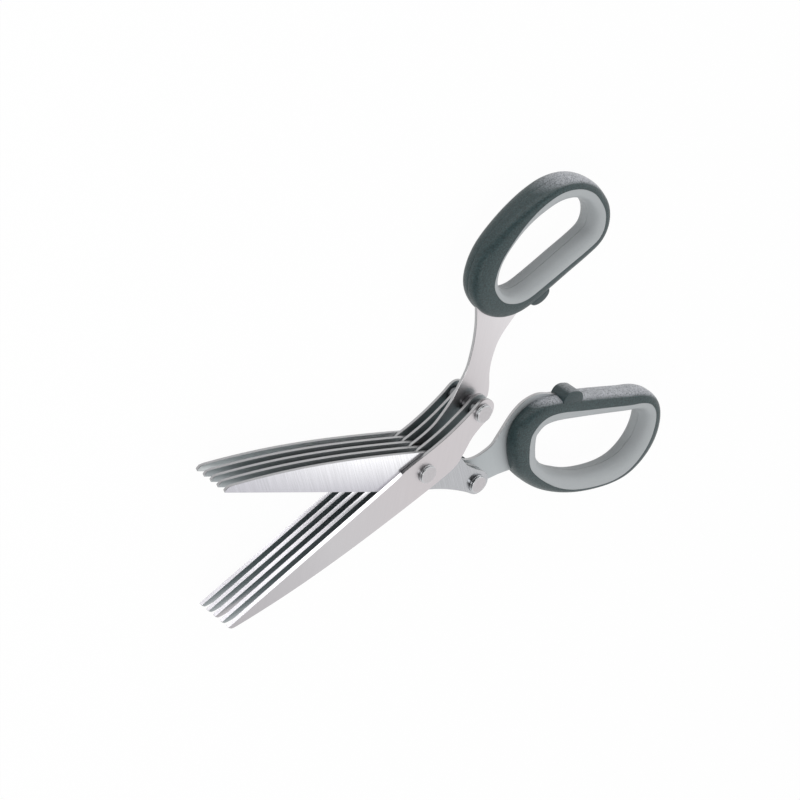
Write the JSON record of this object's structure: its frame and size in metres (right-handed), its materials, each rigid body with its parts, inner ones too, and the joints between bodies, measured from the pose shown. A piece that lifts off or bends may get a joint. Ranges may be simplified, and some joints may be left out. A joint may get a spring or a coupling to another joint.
{
  "type": "herb scissors",
  "caption": "Herb scissors with two interleaved sets of flat blades on one pivot rivet, plastic finger loops with lighter liners, and stop pads between the handles.",
  "frame": {"origin": "centre of the pivot rivet's rear flat face, on the pivot axis", "axes": "+Z along the pivot axis, from the rear of the blade stack to its front; +X towards the handles, along the line that halves the opening; +Y on the side of the smaller, upper handle"},
  "size_m": [0.1879, 0.1287, 0.0193],
  "materials": {
    "satin_steel": "fine satin grinding, with a brighter ground bevel along the cutting edge",
    "bright_steel": "turned and lightly polished",
    "dark_plastic": "fine spark-eroded grain",
    "grey_plastic": "satin, slightly soft"
  },
  "bodies": {
    "upper_handle_lever": {"lower_blade_1": "satin_steel", "lower_blade_2": "satin_steel", "lower_blade_3": "satin_steel", "lower_blade_4": "satin_steel", "lower_blade_5": "satin_steel", "pivot_rivet": "bright_steel", "pivot_washer_1": "bright_steel", "pivot_washer_2": "bright_steel", "pivot_washer_3": "bright_steel", "pivot_washer_4": "bright_steel", "lower_set_rivet": "bright_steel", "lower_set_spacer_1": "bright_steel", "lower_set_spacer_2": "bright_steel", "lower_set_spacer_3": "bright_steel", "lower_set_spacer_4": "bright_steel", "upper_handle_shell": "dark_plastic", "upper_handle_liner": "grey_plastic"},
    "lower_handle_lever": {"upper_blade_1": "satin_steel", "upper_blade_2": "satin_steel", "upper_blade_3": "satin_steel", "upper_blade_4": "satin_steel", "upper_blade_5": "satin_steel", "upper_set_rivet": "bright_steel", "upper_set_spacer_1": "bright_steel", "upper_set_spacer_2": "bright_steel", "upper_set_spacer_3": "bright_steel", "upper_set_spacer_4": "bright_steel", "lower_handle_shell": "dark_plastic", "lower_handle_liner": "grey_plastic"}
  },
  "joints": [
    {"name": "pivot_hinge", "type": "hinge", "parent": "upper_handle_lever", "child": "lower_handle_lever", "pos_m": [0, 0, 0.00965], "axis": [0, 0, 1], "range_deg": [-25, 38.7]}
  ]
}
